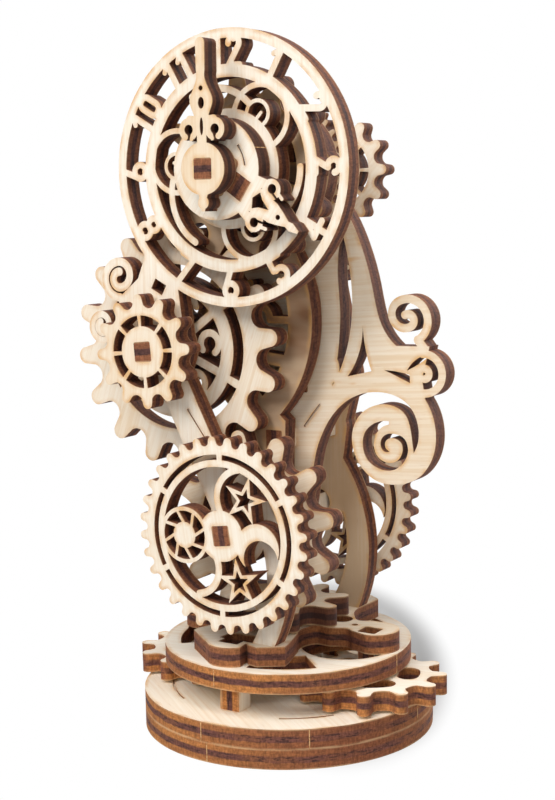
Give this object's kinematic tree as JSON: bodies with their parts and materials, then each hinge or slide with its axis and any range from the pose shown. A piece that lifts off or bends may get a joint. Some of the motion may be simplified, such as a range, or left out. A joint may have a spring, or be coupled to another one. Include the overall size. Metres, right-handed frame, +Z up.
{
  "type": "gear clock",
  "caption": "Small free-standing plywood gear clock with a pierced dial, two hands, meshing open gears, a scrolled arm and thumb gears in a round stepped base.",
  "frame": {"origin": "centre of the round base, on its underside", "axes": "+Z up, the dial faces -Y, +X to the right seen from the front"},
  "size_m": [0.0602, 0.0452, 0.1051],
  "materials": {
    "birch_ply": "bare laser-cut sheet with browned edges",
    "rod_wood": "bare, browned on the cut sides"
  },
  "bodies": {
    "frame": {"base_lower": "birch_ply", "base_upper": "birch_ply", "post_front": "birch_ply", "post_back": "birch_ply", "pin_right": "rod_wood", "pin_left": "rod_wood", "platform": "birch_ply", "cross_plate": "birch_ply", "front_plate": "birch_ply", "inner_plate": "birch_ply", "scroll_plate": "birch_ply", "rear_plate": "birch_ply", "peg_low": "rod_wood", "peg_mid": "rod_wood", "peg_left": "rod_wood", "peg_right": "rod_wood", "idler_pin": "rod_wood"},
    "lower_gears": {"shaft_c": "rod_wood", "wheel_c_front": "birch_ply", "gear_c": "birch_ply", "wheel_c_back": "birch_ply"},
    "middle_gears": {"shaft_b": "rod_wood", "wheel_b_front": "birch_ply", "gear_b": "birch_ply"},
    "hour_train": {"hour_pipe": "rod_wood", "gear_a": "birch_ply", "hour_wheel": "birch_ply", "hour_hand": "birch_ply", "hour_key": "rod_wood"},
    "idler": {"idler_pinion": "birch_ply", "idler_wheel": "birch_ply"},
    "minute_train": {"minute_shaft": "rod_wood", "minute_hand": "birch_ply", "cannon_pinion": "birch_ply", "wheel_a_back": "birch_ply"},
    "centre_post": {"centre_shaft": "rod_wood", "sun_pinion": "birch_ply", "crown_gear": "birch_ply"},
    "right_thumb": {"thumb_right": "birch_ply"},
    "left_thumb": {"thumb_left": "birch_ply"}
  },
  "joints": [
    {"name": "minute_spin", "type": "hinge", "parent": "frame", "child": "minute_train", "pos_m": [0, 0, 0.0854], "axis": [0, 1, 0], "continuous": true},
    {"name": "lower_spin", "type": "hinge", "parent": "frame", "child": "lower_gears", "pos_m": [0, 0, 0.0327], "axis": [0, 1, 0], "continuous": true},
    {"name": "middle_spin", "type": "hinge", "parent": "frame", "child": "middle_gears", "pos_m": [-0.01326, 0, 0.05905], "axis": [0, 1, 0], "continuous": true},
    {"name": "hour_spin", "type": "hinge", "parent": "frame", "child": "hour_train", "pos_m": [0, 0, 0.0854], "axis": [0, 1, 0], "continuous": true},
    {"name": "idler_spin", "type": "hinge", "parent": "frame", "child": "idler", "pos_m": [0, 0, 0.0734], "axis": [0, 1, 0], "continuous": true},
    {"name": "centre_spin", "type": "hinge", "parent": "frame", "child": "centre_post", "pos_m": [0, 0, 0], "axis": [0, 0, 1], "continuous": true},
    {"name": "right_thumb_spin", "type": "hinge", "parent": "frame", "child": "right_thumb", "pos_m": [0.0147, 0, 0], "axis": [0, 0, 1], "continuous": true},
    {"name": "left_thumb_spin", "type": "hinge", "parent": "frame", "child": "left_thumb", "pos_m": [-0.0147, 0, 0], "axis": [0, 0, 1], "continuous": true}
  ],
  "couplings": [
    {"joint": "lower_spin", "follows": "minute_spin", "ratio": 0.083333},
    {"joint": "middle_spin", "follows": "minute_spin", "ratio": -0.0625},
    {"joint": "hour_spin", "follows": "minute_spin", "ratio": 0.083333},
    {"joint": "idler_spin", "follows": "minute_spin", "ratio": -0.33333},
    {"joint": "centre_spin", "follows": "minute_spin", "ratio": -0.125},
    {"joint": "right_thumb_spin", "follows": "minute_spin", "ratio": 0.0625},
    {"joint": "left_thumb_spin", "follows": "minute_spin", "ratio": 0.0625}
  ]
}
